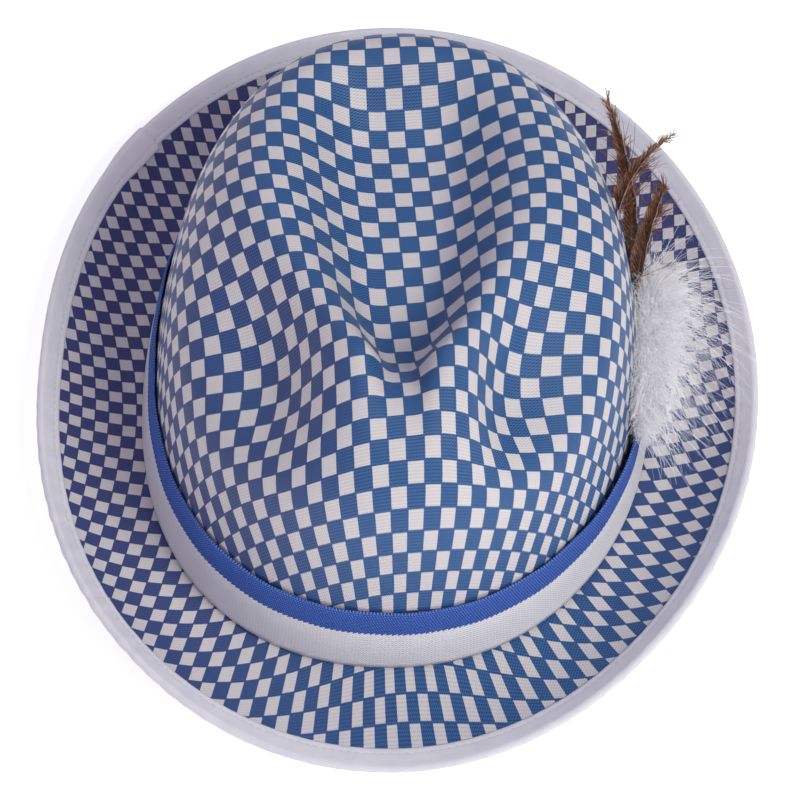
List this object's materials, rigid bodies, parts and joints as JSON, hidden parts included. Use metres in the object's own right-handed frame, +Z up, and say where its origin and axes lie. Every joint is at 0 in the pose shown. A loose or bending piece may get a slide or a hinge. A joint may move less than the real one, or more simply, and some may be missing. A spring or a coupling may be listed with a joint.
{
  "type": "tyrolean hat",
  "caption": "Tyrolean hat in blue and white checked cloth, with a creased crown, turned-up bound brim, ribbon band and a feather tuft.",
  "frame": {"origin": "middle of the hat's outline in plan, on the surface that the hat stands on", "axes": "+Z up; the front of the hat faces -Y; the feather tuft is on the +X side, which is the wearer's left"},
  "size_m": [0.2372, 0.2762, 0.1047],
  "materials": {
    "checked_cloth": "satin woven cloth in a blue and white check",
    "pale_tape": "matt folded tape",
    "woven_ribbon": "twill ribbon, white below and blue above",
    "brown_hackle": "barred brown feather",
    "white_down": "soft white down"
  },
  "bodies": {
    "root": {"crown": "checked_cloth", "brim": "checked_cloth", "brim_binding": "pale_tape", "hat_band": "woven_ribbon", "hackle_feather_1": "brown_hackle", "hackle_feather_2": "brown_hackle", "hackle_feather_3": "brown_hackle", "marabou_plume": "white_down"}
  },
  "joints": []
}
